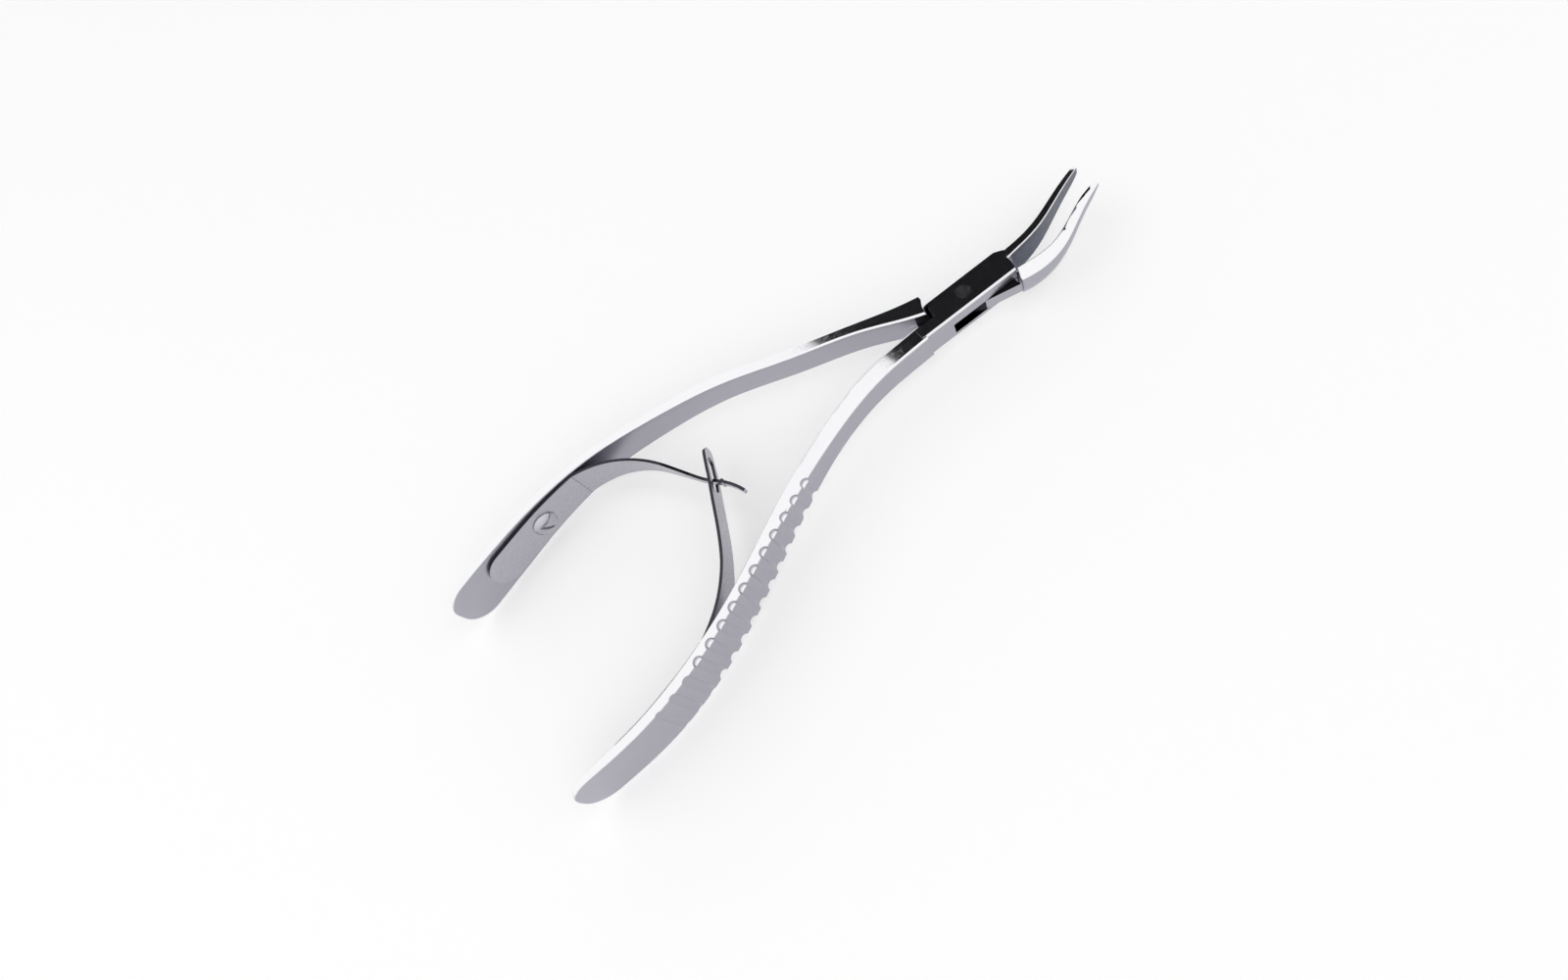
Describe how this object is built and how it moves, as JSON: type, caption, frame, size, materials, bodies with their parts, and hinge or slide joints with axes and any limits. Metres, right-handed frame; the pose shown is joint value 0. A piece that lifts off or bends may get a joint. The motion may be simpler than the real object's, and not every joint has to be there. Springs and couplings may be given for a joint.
{
  "type": "extraction forceps",
  "caption": "Box-lock dental extraction forceps with curved slim beaks, grooved strap handles and interlocking leaf springs that hold it open.",
  "frame": {"origin": "on the hinge axis, at the underside of the box joint", "axes": "+X from the handles towards the beaks, +Z along the hinge axis, +Y towards the handle of the half that passes through the box"},
  "size_m": [0.1541, 0.0614, 0.0124],
  "materials": {
    "satin_steel": "satin",
    "spring_steel": "satin",
    "polished_steel": "polished"
  },
  "bodies": {
    "box_side": {"box_half": "satin_steel", "joint_pin": "polished_steel", "slot_leaf_root": "spring_steel", "slot_leaf_screw": "polished_steel"},
    "web_side": {"web_half": "satin_steel", "hook_leaf_root": "spring_steel", "hook_leaf_screw": "polished_steel"},
    "hook_spring": {"hook_leaf_arm": "spring_steel"},
    "slot_spring": {"slot_leaf_arm": "spring_steel"}
  },
  "joints": [
    {"name": "box_hinge", "type": "hinge", "parent": "box_side", "child": "web_side", "pos_m": [0, 0, 0.0031], "axis": [0, 0, 1], "range_deg": [-2, 7.8], "stiffness_Nm_per_rad": 2},
    {"name": "hook_leaf_flex", "type": "hinge", "parent": "web_side", "child": "hook_spring", "pos_m": [-0.084, 0.02252, 0.0031], "axis": [0, 0, 1], "range_deg": [-4, 12]},
    {"name": "slot_leaf_flex", "type": "hinge", "parent": "box_side", "child": "slot_spring", "pos_m": [-0.0775, -0.02654, 0.0031], "axis": [0, 0, 1], "range_deg": [-12, 4]}
  ],
  "couplings": [
    {"joint": "hook_leaf_flex", "follows": "box_hinge", "ratio": 1.1},
    {"joint": "slot_leaf_flex", "follows": "box_hinge", "ratio": -0.9}
  ]
}
